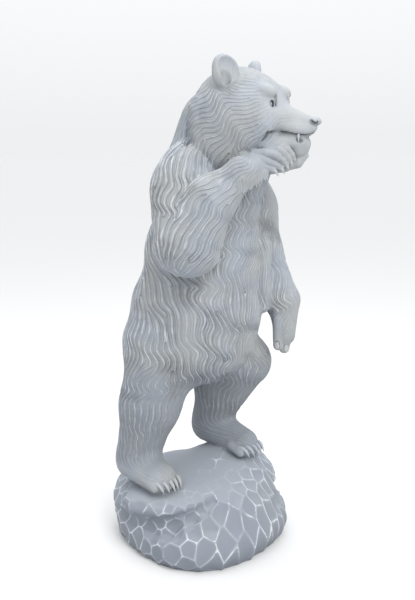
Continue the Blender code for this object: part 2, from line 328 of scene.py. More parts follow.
ball("head", hp(.160, 0, -.125), (.028, .032, .022), .010, hd(-1, 0, 0), head_axes(.1), lock=.009, relief=.0002)
ball("head", hp(.211, 0, -.0455), (.0165, .0240, .0122), .004, hd(-1, 0, 0), head_axes(.2), lock=.010, relief=0)
ball("head", hp(.203, 0, -.063), (.0135, .0165, .0130), .004, hd(-1, 0, 0), head_axes(), lock=.010, relief=0)

# hollows in the head: ear bowls, eye sockets, nostrils, the parted lips; the gap behind the ruff cuts the neck too
EYES = []
PLAIN = dict(lock=.010, relief=0.0)
for s in (-1, 1):
    turned = head_axes(0, s * .60)
    ball("head", hp(-.012, s * .095, .092) + turned[0] * .021, (.0145, .033, .033), .0036, (0, 0, 1), turned, cut=True, **PLAIN)
    tip = .104 if s < 0 else .093
    ball("head", hp(-.018, s * .098, tip) + turned[0] * .017, (.0130, .0255, .0255), .0036, (0, 0, 1), turned, cut=True, **PLAIN)
    ball("head", hp(-.024, s * .095, .072) + turned[0] * .022, (.0130, .016, .024), .0036, (0, 0, 1), turned, cut=True, **PLAIN)
    out = unit(hd(.765, s * .645, .02))
    side = -unit(np.cross(UP, out)) * s         # toward the nose
    lift = np.cross(out, side) * s
    lift = lift if lift[2] > 0 else -lift
    at = hp(.1055, s * .0555, .000)
    EYES.append((at, out, side, lift))
    ball("head", at + out * .0010, (.0090, .0062, .0102), .003, (0, 0, 1), np.array((out, side, lift)), cut=True, **PLAIN)
    chain("head", [at + side * .0120 + lift * .021 + out * .002, at + side * .0118 + lift * .007 + out * .002, at + side * .0112 - lift * .008 + out * .0005],
          (.0016, .0022, .0016), .0025, .0015, flow=(0, 0, -1), cut=True, **PLAIN)
    wide = 0 if s < 0 else .015                   # the neck stands out further on the left
    chain("gap", [hp(-.107, s * (.094 + wide), .030), hp(-.126, s * (.098 + wide), .006), hp(-.138, s * (.100 + wide), -.018),
                  hp(-.136, s * (.100 + wide), -.050), hp(-.131, s * (.102 + wide), -.080), hp(-.126, s * (.112 + wide), -.104),
                  hp(-.120, s * (.124 + wide), -.124)],
          (.007, .012, .015, .0155, .0155, .0120, .006), .006, .004, flow=(0, 0, -1), cut=True, **PLAIN)
    lips = ((.2115, -.0770), (.206, -.0795), (.197, -.0815), (.182, -.0815), (.165, -.0795), (.151, -.0757), (.132, -.0737), (.115, -.0737),
            (.1065, -.077), (.099, -.089), (.091, -.096))
    chain("head", [hp(f, s * max(skin(f, u, s) - .0004, .002), u) for f, u in lips],
          (.0018, .0022, .0025, .0025, .0022, .0022, .0025, .0032, .0038, .0030, .0018), .0012, .001, flow=(0, 0, -1), cut=True, **PLAIN)
    ball("head", hp(.1835, s * .0355, -.0925), (.0125, .0085, .0100), .003, (0, 0, 1), head_axes(.15, -s * .55), cut=True, **PLAIN)
    nostril = ((.2085, -.0440), (.2140, -.0500), (.2195, -.0525), (.2235, -.0480))
    chain("head", [hp(f, s * (skin(f, u, s) - .0008), u) for f, u in nostril],
          (.0022, .0036, .0040, .0024), .0012, .001, flow=(0, 0, -1), cut=True, **PLAIN)
# lids and the folds beside the eye
for at, out, side, lift in EYES:
    def fold(points, radius, rise):
        chain("head", [at + side * a + lift * b + out * rise for a, b in points], [radius] * len(points), .003, .002,
              flow=side, lock=.010, relief=0.0)
    fold(((-.0095, -.001), (-.0062, .0085), (.0003, .0122), (.0062, .0095), (.0092, .001)), .0026, .0008)
    fold(((-.0095, -.001), (-.0050, -.0092), (.0012, -.0120), (.0066, -.0086), (.0092, .001)), .0023, .0000)
    fold(((-.0150, -.0105), (-.0060, -.0165), (.0050, -.0172), (.0135, -.0135)), .0032, -.0022)
    fold(((-.0190, .0115), (-.0080, .0185), (.0040, .0205)), .0036, -.0030)
    fold(((.0168, .022), (.0168, .008), (.0158, -.006)), .0032, -.0018)
# cheek folds behind the corner of the mouth
for s in (-1, 1):
    chain("head", [hp(.098, s * .066, -.068), hp(.108, s * .064, -.057), hp(.124, s * .058, -.048)], (.0030, .0036, .0028), .004, .002,
          flow=hd(-1, 0, 0), lock=.010, relief=0.0)
    chain("head", [hp(.093, s * .071, -.080), hp(.085, s * .073, -.094), hp(.083, s * .071, -.106)], (.0028, .0034, .0026), .004, .002,
          flow=hd(-1, 0, 0), lock=.010, relief=0.0)

# the mound
ROCK = dict(lock=.02, relief=0.0, flow=(0, 0, -1), axes=VIEW_AXES)
ball("rock", rp(.006, .01, .05), (.273, .270, .125), .03, **ROCK)
ball("rock", rp(0, -.095, .045), (.195, .200, .115), .03, **ROCK)
ball("rock", rp(0, .02, .09), (.260, .254, .125), .03, **ROCK)
ball("rock", rp(-.022, .01, .120), (.256, .24, .108), .03, **ROCK)
ball("rock", rp(.092, .08, .133), (.158, .19, .126), .03, **ROCK)
ball("rock", rp(.175, -.03, .055), (.100, .12, .070), .012, **ROCK)
ball("rock", rp(-.085, -.125, .163), (.150, .112, .043), .018, **ROCK)       # the ledge under the near toes
chain("rock", [rp(-.262, -.090, .104), rp(-.236, -.135, .106), rp(-.205, -.178, .106), rp(-.150, -.220, .108), rp(-.088, -.246, .120),
               rp(-.030, -.240, .146), rp(.018, -.216, .168), rp(.048, -.184, .180)],
      (.010, .020, .026, .031, .031, .022, .014, .006), .016, .014, flow=(0, 0, -1), lock=.02, relief=0.0, cut=True)
chain("rock", [rp(.262, -.080, .118), rp(.252, .0, .120), rp(.249, .08, .124), rp(.228, .17, .130)],
      (.016, .029, .030, .018), .014, .010, flow=(0, 0, -1), lock=.02, relief=0.0, cut=True)

# ------------------------------------------------------------------ noise
def hashed(i, j, k, seed):
    with np.errstate(over="ignore"):
        h = i.astype(np.uint32) * np.uint32(73856093) ^ j.astype(np.uint32) * np.uint32(19349663) ^ k.astype(np.uint32) * np.uint32(83492791)
        h = h ^ np.uint32((seed * 2654435761) % 4294967296)
        h = (h ^ (h >> np.uint32(13))) * np.uint32(1274126177)
        h = (h ^ (h >> np.uint32(15))) * np.uint32(2246822519)
        h = h ^ (h >> np.uint32(14))
    return h.astype(np.float64) / 2147483648.0 - 1.0


def noise(points, size, seed):
    """Smooth noise from -1 to 1 with features of the given size."""
    q = points / size + 100.0
    i = np.floor(q).astype(np.int64)
    f = q - i
    f = f * f * f * (f * (f * 6 - 15) + 10)
    out = np.zeros(len(points))
    for a in (0, 1):
        for b in (0, 1):
            for c in (0, 1):
                w = (f[:, 0] if a else 1 - f[:, 0]) * (f[:, 1] if b else 1 - f[:, 1]) * (f[:, 2] if c else 1 - f[:, 2])
                out += w * hashed(i[:, 0] + a, i[:, 1] + b, i[:, 2] + c, seed)
    return out


def step(low, high, x):
    t = np.clip((x - low) / (high - low), 0, 1)
    return t * t * (3 - 2 * t)


# ------------------------------------------------------------------ from the field to a mesh
OCTANT = np.array([(i, j, k) for i in (0, 1) for j in (0, 1) for k in (0, 1)], np.int64)
CUBE_EDGES = ((0, 4), (1, 5), (2, 6), (3, 7), (0, 2), (1, 3), (4, 6), (5, 7), (0, 1), (2, 3), (4, 5), (6, 7))


def cell_code(g):
    return g[:, 0] + (g[:, 1] << 14) + (g[:, 2] << 28)


def cells_near_surface(f, low, counts, sizes):
    g = np.stack(np.meshgrid(*[np.arange(n) for n in counts], indexing="ij"), -1).reshape(-1, 3).astype(np.int64)
    for i, size in enumerate(sizes):
        last = i == len(sizes) - 1
        g = g[np.abs(f(low + (g + 0.5) * size)) < size * 1.13 + (0 if last else 0.004)]
        if not last:
            g = (g[:, None, :] * 2 + OCTANT[None]).reshape(-1, 3)
    return g


def surface_net(f, low, high, size, levels):
    """Closed quad mesh of f = 0: a vertex in each grid cell that the surface crosses."""
    sizes = [size * 2 ** (levels - 1 - i) for i in range(levels)]
    counts = [int(math.ceil((h - l) / sizes[0])) for l, h in zip(low, high)]
    g = cells_near_surface(f, low, counts, sizes)
    code = cell_code(g)
    order = np.argsort(code)
    g, code = g[order], code[order]
    corner_code = cell_code((g[:, None, :] + OCTANT[None]).reshape(-1, 3))
    unique, first, inverse = np.unique(corner_code, return_index=True, return_inverse=True)
    corner = g[first // 8] + OCTANT[first % 8]
    value = f(low + corner * size)[inverse.reshape(-1)].reshape(-1, 8)
    inside = value < 0
    mixed = inside.any(1) & ~inside.all(1)
    g, code, value = g[mixed], code[mixed], value[mixed]
    total, crossings = np.zeros((len(g), 3)), np.zeros(len(g))
    for a, b in CUBE_EDGES:
        va, vb = value[:, a], value[:, b]
        crossed = (va < 0) != (vb < 0)
        t = np.where(crossed, va / np.where(crossed, va - vb, 1), 0)
        total += np.where(crossed[:, None], OCTANT[a] + (OCTANT[b] - OCTANT[a]) * t[:, None], 0)
        crossings += crossed
    points = low + (g + total / crossings[:, None]) * size
    quads = []
    for axis, far_corner in ((0, 4), (1, 2), (2, 1)):
        u, v = np.zeros(3, np.int64), np.zeros(3, np.int64)
        u[(axis + 1) % 3], v[(axis + 2) % 3] = 1, 1
        crossed = (value[:, 0] < 0) != (value[:, far_corner] < 0)
        at, outward = g[crossed], value[crossed, 0] < 0
        found, whole = [], np.ones(len(at), bool)
        for offset in (0 * u, -u, -u - v, -v):
            wanted = cell_code(at + offset)
            place = np.minimum(np.searchsorted(code, wanted), len(code) - 1)
            whole &= code[place] == wanted
            found.append(place)
        quad = np.stack(found, 1)
        quads.append(np.where(outward[:, None], quad, quad[:, ::-1])[whole])
    return points, np.concatenate(quads), g


def quad_normals(points, quads):
    d1 = points[quads[:, 2]] - points[quads[:, 0]]
    d2 = points[quads[:, 3]] - points[quads[:, 1]]
    n = np.cross(d1, d2)
    out = np.zeros_like(points)
    for i in range(4):
        for axis in range(3):
            out[:, axis] += np.bincount(quads[:, i], n[:, axis], len(points))
    return out / np.maximum(np.linalg.norm(out, axis=1), 1e-12)[:, None]


def edge_list(faces):
    k = faces.shape[1]
    pairs = np.concatenate([faces[:, [i, (i + 1) % k]] for i in range(k)])
    pairs.sort(axis=1)
    code = np.unique(pairs[:, 0] * 4194304 + pairs[:, 1])
    return np.stack((code // 4194304, code % 4194304), 1)


def spread(values, edges, count):
    """Mean of each vertex's neighbours."""
    a, b = edges[:, 0], edges[:, 1]
    values = values if values.ndim == 2 else values[:, None]
    total = np.stack([np.bincount(a, values[b, i], count) + np.bincount(b, values[a, i], count) for i in range(values.shape[1])], 1)
    degree = np.bincount(a, None, count) + np.bincount(b, None, count)
    return total / np.maximum(degree, 1)[:, None]


# ------------------------------------------------------------------ coarse mesh: the run of the fur
LOW = np.array((-.36, -.48, -.06))
HIGH = np.array((.37, .36, 1.56))
coarse, coarse_quads, coarse_cells = surface_net(field, LOW, HIGH, COARSE_CELL, 4)
coarse_normals = quad_normals(coarse, coarse_quads)


def fur_facts(points):
    """What the forms say at each point: flow, lock width, relief, share of mound, share of head."""
    flow, total = np.zeros((len(points), 3)), np.full(len(points), 1e-9)
    lock, relief, rock, head = (np.zeros(len(points)) for _ in range(4))
    for index, near in by_block(points):
        p = points[index]
        for f in near:
            if f["cut"]:
                continue
            w = np.exp(-np.maximum(form_distance(f, p), 0) / 0.007)
            flow[index] += w[:, None] * f["flow"]
            total[index] += w
            lock[index] += w * f["lock"]
            relief[index] += w * f["relief"]
            rock[index] += w * (f["group"] == "rock")
            head[index] += w * (f["group"] == "head")
    return flow, lock / total, relief / total, rock / total, head / total


flow, lock, relief, rock_share, head_share = fur_facts(coarse)
lock = np.clip(lock, .007, .03)
coarse_edges = edge_list(coarse_quads)
for _ in range(10):
    flow = flow * .4 + spread(flow, coarse_edges, len(coarse)) * .6
swirl = noise(coarse, .30, 3) * .42 + noise(coarse, .13, 4) * .22
flow -= coarse_normals * (flow * coarse_normals).sum(1)[:, None]
flow /= np.maximum(np.linalg.norm(flow, axis=1), 1e-6)[:, None]
across = np.cross(coarse_normals, flow)
turned = flow * np.cos(swirl)[:, None] + across * np.sin(swirl)[:, None]
flow, across = turned, np.cross(coarse_normals, turned)
gradient = across * (2 * math.pi / lock)[:, None]

# Each vertex gets a phase across the locks. It is made to agree with its neighbours by averaging.
diagonals = np.concatenate([coarse_quads[:, [0, 2]], coarse_quads[:, [1, 3]]])
links = np.concatenate([coarse_edges, diagonals])
i, j = np.concatenate([links[:, 0], links[:, 1]]), np.concatenate([links[:, 1], links[:, 0]])
turn = np.exp(1j * ((gradient[i] + gradient[j]) * .5 * (coarse[i] - coarse[j])).sum(1))
order = np.argsort(i, kind="stable")
i, j, turn = i[order], j[order], turn[order]
slot = np.arange(len(i)) - np.searchsorted(i, i)
width = int(slot.max()) + 1
neighbours = np.zeros((len(coarse), width), np.int64)
transport = np.zeros((len(coarse), width), np.complex64)
neighbours[i, slot], transport[i, slot] = j, turn
phase = np.exp(1j * rng.uniform(0, 2 * math.pi, len(coarse))).astype(np.complex64)
last = phase
for n in range(RUN_STEPS):
    moved = (phase[neighbours] * transport).sum(1)
    moved /= np.maximum(np.abs(moved), 1e-6)
    moved = moved + .45 * (moved - last) if n % 50 else moved
    moved /= np.maximum(np.abs(moved), 1e-6)
    last, phase = phase, moved
# how well the phase agrees: low where a lock ends or splits
agree = np.abs((phase[neighbours] * transport).sum(1)) / np.maximum((transport != 0).sum(1), 1)

# hollows: how much of the space above the surface the statue itself fills; the stone is painted darker there as shade
hollow = np.zeros(len(coarse))
for reach, share in ((.014, .35), (.034, .35), (.080, .30)):
    hollow += share * np.clip(1 - field(coarse + coarse_normals * reach) / reach, 0, 1)
hollow = hollow * .5 + spread(hollow, coarse_edges, len(coarse))[:, 0] * .5

coarse_code = cell_code(coarse_cells)      # surface_net leaves these sorted


def read_coarse(points, normals):
    """Phase, relief, mound share, head share, hollow and agreement at points near the coarse mesh."""
    cell = np.floor((points - LOW) / COARSE_CELL).astype(np.int64)
    psi = np.zeros(len(points), np.complex128)
    weight = np.full(len(points), 1e-12)
    carried = np.stack((relief, rock_share, head_share, hollow, agree, lock), 1)
    sums = np.zeros((len(points), carried.shape[1]))
    for di in (-1, 0, 1):
        for dj in (-1, 0, 1):
            for dk in (-1, 0, 1):
                wanted = cell_code(cell + np.array((di, dj, dk)))
                at = np.minimum(np.searchsorted(coarse_code, wanted), len(coarse_code) - 1)
                hit = np.flatnonzero(coarse_code[at] == wanted)
                at = at[hit]
                away = points[hit] - coarse[at]
                facing = np.clip((normals[hit] * coarse_normals[at]).sum(1), 0, 1) ** 2
                w = facing * np.exp(-(away * away).sum(1) / (COARSE_CELL * .62) ** 2) + 1e-9
                psi[hit] += w * phase[at] * np.exp(1j * (gradient[at] * away).sum(1))
                sums[hit] += w[:, None] * carried[at]
                weight[hit] += w
    sums /= weight[:, None]
    return np.where(np.abs(psi) > 0, psi / np.maximum(np.abs(psi), 1e-12), 1.0), sums


def waves(points, head, lock_width):
    """How far the locks swing to the side, in metres: the S-curves of the coat."""
    z = points[:, 2]
    body = step(.36, .60, z) * (1 - head)
    f = (points - HEAD_C) @ HEAD_F
    drift = noise(points, .11, 11) * 2.0 + noise(points, .30, 12) * 2.6
    strength = np.clip(.85 + .75 * noise(points, .10, 13), .15, 1.6)
    turn = 2 * math.pi * (z + .25 * points[:, 0]) / .102 + drift
    swing = body * .0100 * strength * (np.sin(turn) + .16 * np.sin(2 * turn + .6))
    swing += body * .0035 * noise(points, .045, 14)
    long_drift = noise(points, .11, 16) * 1.4 + noise(points, .22, 17) * 2.0
    swing += head * .0100 * strength * step(.17, .06, f) * np.sin(2 * math.pi * (f + .6 * (z - 1.3)) / .140 + long_drift)
    swing += (1 - body) * (1 - head) * .0026 * np.sin(2 * math.pi * z / .062 + 1.6 * drift)
    return swing


def coat_phase(points, normals):
    psi, facts = read_coarse(points, normals)
    swing = waves(points, facts[:, 2], facts[:, 5])
    uneven = .75 * noise(points, .030, 15) * step(.010, .016, facts[:, 5])
    return np.angle(psi) + swing * 2 * math.pi / facts[:, 5] + uneven, facts


def lock_profile(angle):
    """0 in the groove, 1 on the crest: a long rise and a steep fall."""
    u = np.mod(angle / (2 * math.pi), 1.0)
    rise = np.sin(.5 * math.pi * np.clip(u / LOCK_PEAK, 0, 1)) ** 1.15
    fall = np.cos(.5 * math.pi * np.clip((u - LOCK_PEAK) / (1 - LOCK_PEAK), 0, 1)) ** 1.3
    return np.where(u < LOCK_PEAK, rise, fall)


# ------------------------------------------------------------------ the mound's scoops
def scoop_sizes(points):
    """Width and height of the scoops at each point of the mound."""
    r, a, z = points @ VIEW_R, points @ VIEW_A, points[:, 2]
    right = step(-.05, .10, r)
    front = step(.10, -.08, a)
    wide = .046 + .006 * right - .012 * step(.08, .20, r)
    tall = .050 + .066 * right + .010 * (1 - front)
    near_toes = np.exp(-(((r + .03) / .085) ** 2 + ((a + .21) / .10) ** 2)) * step(.13, .18, z)
    wide = wide * (1 - .45 * near_toes)
    tall = tall * (1 - .50 * near_toes)
    return wide, tall


mound = coarse[(rock_share > .6) & (coarse[:, 2] > -.001)]
mound_wide, mound_tall = scoop_sizes(mound)
seeds, seed_scale = [], []
for n in rng.permutation(len(mound)):
    p, scale = mound[n], np.array((1 / mound_wide[n], 1 / mound_wide[n], 1 / mound_tall[n]))
    if seeds:
        d = (np.array(seeds) - p) * scale
        if ((d * d).sum(1) < .80 ** 2).any():
            continue
    seeds.append(p)
    seed_scale.append(scale)
seeds = np.array(seeds)


def scoops(points):
    """Height of the scooped surface, and how close each point is to a ridge, in metres."""
    wide, tall = scoop_sizes(points)
    scale = np.stack((1 / wide, 1 / wide, 1 / tall), 1)
    height, ridge = np.zeros(len(points)), np.ones(len(points))
    for start in range(0, len(points), 20000):
        part = slice(start, start + 20000)
        d = ((points[part, None, :] - seeds[None]) * scale[part, None, :]) ** 2
        d = d.sum(2)
        two = np.argpartition(d, 1, axis=1)[:, :2]
        rows = np.arange(len(two))
        d1, d2 = d[rows, two[:, 0]], d[rows, two[:, 1]]
        swap = d1 > d2
        d1, d2 = np.where(swap, d2, d1), np.where(swap, d1, d2)
        apart = np.sqrt((((seeds[two[:, 0]] - seeds[two[:, 1]]) * scale[part]) ** 2).sum(1))
        height[part] = d1
        ridge[part] = (d2 - d1) / (2 * np.maximum(apart, .2)) * wide[part]
    return height, ridge, wide


def scoop_mask(points, normals):
    """The scoops fade out on the mound's smooth top, but not along its rim."""
    fade = 1 - step(.74, .97, normals[:, 2] + .10 * noise(points, .05, 21))
    return fade * step(-.9, -.5, normals[:, 2])


# ------------------------------------------------------------------ the carved surface
FACE = hp(.115, 0, -.045)


def from_grid(q):
    """The grid is drawn in toward the face, where its cells are smaller."""
    away = q - FACE
    r = np.maximum(np.linalg.norm(away, axis=1), 1e-9)
    return FACE + away * (1 - FACE_ZOOM * FACE_REACH * (1 - np.exp(-r / FACE_REACH)) / r)[:, None]


GROWN = FACE_ZOOM * FACE_REACH
fine, quads, _ = surface_net(lambda q: field(from_grid(q)), LOW - GROWN, HIGH + GROWN, FINE_CELL, 5)
fine = from_grid(fine)
fine[:, 2] = np.maximum(fine[:, 2], 0)
normals = quad_normals(fine, quads)
edges = edge_list(quads)
# even out the grid's steps, along the surface only
for _ in range(2):
    shift = spread(fine, edges, len(fine)) - fine
    ground = (fine[:, 2] < .004)[:, None]
    shift -= normals * (shift * normals).sum(1)[:, None] * .7
    fine += np.where(ground, 0, shift) * .5
smooth_normals = normals.copy()
for _ in range(2):
    smooth_normals = smooth_normals + spread(smooth_normals, edges, len(fine))
    smooth_normals /= np.linalg.norm(smooth_normals, axis=1)[:, None]

angle, facts = coat_phase(fine, smooth_normals)
fine_relief, fine_rock, fine_head, fine_hollow, fine_agree = (facts[:, n] for n in range(5))


def soft_spots(points):
    """Places that stay smooth: the eyes and the nose."""
    keep = np.ones(len(points))
    for at, out, side, lift in EYES:
        keep *= step(.010, .026, np.linalg.norm(points - at, axis=1))
    keep *= step(.015, .040, np.linalg.norm(points - hp(.212, 0, -.055), axis=1))
    return keep


coat = fine_relief * (1 - step(.25, .6, fine_rock)) * soft_spots(fine)
coat *= .80 + .50 * noise(fine, .050, 31)
coat *= 1 - .60 * step(.80, 1.0, fine_hollow)
crest = lock_profile(angle)
strands = np.cos(3 * angle + STRAND_DRIFT * noise(fine, .045, 32))
rise = coat * (1.45 * (crest - .58) + .42 * strands * (.65 + .5 * crest))

scoop, ridge, scoop_wide = scoops(fine)
on_rock = step(.35, .8, fine_rock) * scoop_mask(fine, smooth_normals)
above_ground = fine[:, 2] > .003
rise += on_rock * (.0200 * (scoop_wide / .05) * (np.minimum(scoop, .5) - .17)) * (1 - .4 * step(.6, .9, fine_hollow))
rise += step(.35, .8, fine_rock) * .0012 * noise(fine, .035, 22) * above_ground
flat = (smooth_normals[:, 2] < -.8) & (fine[:, 2] < .006)
rise[flat] = 0
fine += smooth_normals * rise[:, None]
fine[:, 2] = np.where(flat | (fine[:, 2] < .0005), 0, fine[:, 2])


# ------------------------------------------------------------------ mesh objects
def mesh_from(name, points, faces):
    k = faces.shape[1]
    data = bpy.data.meshes.new(name)
    data.vertices.add(len(points))
    data.vertices.foreach_set("co", points.astype(np.float32).ravel())
    data.loops.add(faces.size)
    data.loops.foreach_set("vertex_index", faces.astype(np.int32).ravel())
    data.polygons.add(len(faces))
    data.polygons.foreach_set("loop_start", np.arange(0, faces.size, k, dtype=np.int32))
    data.polygons.foreach_set("loop_total", np.full(len(faces), k, np.int32))
    data.update(calc_edges=True)
    return data


def add_object(name, data):
    made = bpy.data.objects.new(name, data)
    bpy.context.scene.collection.objects.link(made)
    return made


def triangles_of(data):
    data.calc_loop_triangles()
    out = np.empty(len(data.loop_triangles) * 3, np.int32)
    data.loop_triangles.foreach_get("vertices", out)
    return out.reshape(-1, 3).astype(np.int64)


def points_of(data):
    out = np.empty(len(data.vertices) * 3, np.float32)
    data.vertices.foreach_get("co", out)
    return out.reshape(-1, 3).astype(np.float64)


def give(data, name, values):
    """A vertex attribute of one or three numbers."""
    values = np.asarray(values, np.float32)
    kind, key = ("FLOAT", "value") if values.ndim == 1 else ("FLOAT_VECTOR", "vector")
    data.attributes.new(name, kind, "POINT").data.foreach_set(key, values.ravel())


split = np.concatenate([quads[:, [0, 1, 2]], quads[:, [0, 2, 3]]])
raw = add_object("whole_carving", mesh_from("carving", fine, split))
thin = raw.modifiers.new("Decimate", "DECIMATE")
thin.ratio = min(1.0, len(BANDS) * MOST_FACES / len(split))
bpy.context.view_layer.update()
carved = bpy.data.meshes.new_from_object(raw.evaluated_get(bpy.context.evaluated_depsgraph_get()))
bpy.data.objects.remove(raw)

points = points_of(carved)
points[:, 2] = np.maximum(points[:, 2], 0)
faces = triangles_of(carved)
bpy.data.meshes.remove(carved)
n = np.cross(points[faces[:, 1]] - points[faces[:, 0]], points[faces[:, 2]] - points[faces[:, 0]])
normals = np.zeros_like(points)
for c in range(3):
    for axis in range(3):
        normals[:, axis] += np.bincount(faces[:, c], n[:, axis], len(points))
normals /= np.maximum(np.linalg.norm(normals, axis=1), 1e-12)[:, None]
edges = edge_list(faces)
length = np.linalg.norm(points[edges[:, 0]] - points[edges[:, 1]], axis=1)
reach =(np.bincount(edges[:, 0], length, len(points)) + np.bincount(edges[:, 1], length, len(points))) / np.maximum(
    np.bincount(edges[:, 0], None, len(points)) + np.bincount(edges[:, 1], None, len(points)), 1)
bend = ((points - spread(points, edges, len(points))) * normals).sum(1) / np.maximum(reach, 1e-4) ** 2
bend = bend * .6 + spread(bend, edges, len(points))[:, 0] * .4          # 1/m, positive on crests
angle, facts = coat_phase(points, normals)
final_rock = step(.35, .8, facts[:, 1])
coat_mask = np.clip(facts[:, 0] / (.0026 - .0008 * facts[:, 2]), 0, 1.2) * (1 - step(.25, .6, facts[:, 1])) * soft_spots(points)
coat_mask *= np.clip(.80 + .45 * noise(points, .050, 31), .2, 1.2)
_, ridge, _ = scoops(points)
ridge_off = np.clip(ridge / .020, 0, 1)                 # distance from the nearest ridge, in steps of 20 mm
ridge_worn = final_rock * scoop_mask(points, normals) * step(-.55, .0, normals[:, 2]) * (1 - step(.55, .85, facts[:, 3]))
wander = STRAND_DRIFT * noise(points, .045, 32)
# above 0 where shade is painted: the hind legs under the belly and the mound's foot; below 0 where light is painted:
# the mound's upward-facing top is paler
painted_shade_and_light = step(.62, .52, points[:, 2]) * step(.25, .31, points[:, 2]) * (1 - final_rock)
painted_shade_and_light += final_rock * (.55 * step(.15, .02, points[:, 2]) - step(.62, .96, normals[:, 2]))

# painted shade: near black in the eye sockets, the groove beside the eye, the parted lips, the mouth's corners and the
# nostrils
recess_shade = np.zeros(len(points))
for index, near in by_block(points):
    p = points[index]
    for f in near:
        if f["cut"] and f["group"] == "head" and f["blend"] < .0035:
            recess_shade[index] = np.maximum(recess_shade[index], np.exp(-np.maximum(form_distance(f, p), 0) / .0016))
FACTS = dict(
    coat=np.stack((np.cos(angle), np.sin(angle), coat_mask), 1),
    wear_and_painted_shade=np.stack((np.clip(bend / 160, -1, 1), facts[:, 3], ridge_off), 1),
    parts=np.stack((final_rock, ridge_worn, recess_shade), 1),
    strand=np.stack((wander, np.clip(facts[:, 2], 0, 1), painted_shade_and_light), 1),
)


def band_of_surface(name, band):
    """One band of the surface, shaded as part of the whole."""
    used, local = np.unique(band, return_inverse=True)
    data = mesh_from("bear_statue_" + name, points[used], local.reshape(-1, 3))
    for key, values in FACTS.items():
        give(data, key, values[used])
    data.polygons.foreach_set("use_smooth", np.ones(len(data.polygons), bool))
    data.normals_split_custom_set_from_vertices(normals[used].tolist())
    return add_object("bear_statue_" + name, data)


by_height = np.argsort(points[faces][:, :, 2].mean(1), kind="stable")
statue_bands = [band_of_surface(name, faces[rows]) for name, rows in zip(BANDS, np.array_split(by_height, len(BANDS)))]


# ------------------------------------------------------------------ claws, nails, teeth and eyes
def horn(bm, start, end, top, width, thick, arch, fullest=.35, blunt=.12, rings=12, sides=14):
    """A claw: an arched, pointed form of oval section. top is the way its back faces."""
    start, end = np.asarray(start, float), np.asarray(end, float)
    along = unit(end - start)
    side = unit(np.cross(along, top))
    back = np.cross(side, along)
    loops = []
    for n in range(rings + 1):
        t = n / rings
        size = math.sin(math.pi * .5 * min(1.0, (t + .06) / fullest)) ** .6 if t < fullest else (1 - (1 - blunt) * ((t - fullest) / (1 - fullest)) ** 1.5)
        centre = start + (end - start) * t + back * arch * math.sin(math.pi * t)
        loops.append([bm.verts.new(centre + side * math.cos(a) * width * size + back * math.sin(a) * thick * size)
                      for a in (2 * math.pi * s / sides for s in range(sides))])
    for a, b in zip(loops, loops[1:]):
        for s in range(sides):
            bm.faces.new((a[s], a[(s + 1) % sides], b[(s + 1) % sides], b[s]))
    for ring, centre in ((loops[0], start - along * width * .25), (loops[-1], end + along * width * blunt * .8)):
        tip = bm.verts.new(centre + back * 0)
        for s in range(sides):
            bm.faces.new((ring[s], ring[(s + 1) % sides], tip))


def blob(bm, centre, axes, radii, segments=24, rings=14):
    place = Matrix([[*(axes[c][r] * radii[c] for c in range(3)), centre[r]] for r in range(3)] + [[0, 0, 0, 1]])
    bmesh.ops.create_uvsphere(bm, u_segments=segments, v_segments=rings, radius=1.0, matrix=place)


def small_piece(name, build, material):
    bm = bmesh.new()
    build(bm)
    bmesh.ops.recalc_face_normals(bm, faces=bm.faces)
    data = bpy.data.meshes.new(name)
    bm.to_mesh(data)
    bm.free()
    data.polygons.foreach_set("use_smooth", np.ones(len(data.polygons), bool))
    made = add_object(name, data)
    data.materials.append(material)
    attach(made, "root")
    return made


def foot_claws(bm):
    for middle, ahead in FEET:
        across = np.cross(ahead, UP)
        for i in range(-2, 3):
            toe = middle + across * (i * TOE_SPREAD) - ahead * (.006 * abs(i))
            lean = across * i * -.0045
            horn(bm, toe - ahead * .004 + UP * .0130, toe + ahead * .041 - UP * .0135 + lean, UP + ahead * .4, .0068, .0060, .0085)


def paw_claws(bm):
    for *path, size in FINGER_PATHS:
        a, b = hp(*path[4]), hp(*path[5])
        horn(bm, a - (b - a) * .45, b, -HEAD_L * .7 + HEAD_F * .7, .0056 * size, .0052 * size, .0030)


def hand_nails(bm):
    for at, side, along, out in HAND_NAILS:
        blob(bm, at - out * .0004, (side, along, out), (.0082, .0128, .0040))


def teeth(bm):
    for s in (-1, 1):
        horn(bm, hp(.177, s * .0345, -.079), hp(.1780, s * .0360, -.1015), hd(.5, s, 0), .0036, .0034, .001, fullest=.2, blunt=.25)
        for k in range(4):
            f, l = .1965 - .0035 * k, .004 + .0058 * k
            horn(bm, hp(f, s * l, -.077), hp(f + .0005, s * l, -.0848), hd(1, s * .3, 0), .0027, .0024, 0, fullest=.3, blunt=.45, rings=7, sides=10)


def eyeballs(bm):
    for at, out, side, lift in EYES:
        blob(bm, at - out * .0036 - side * .0016 - lift * .0012, (side, lift, out), (.0046, .0082, .0062), 32, 20)


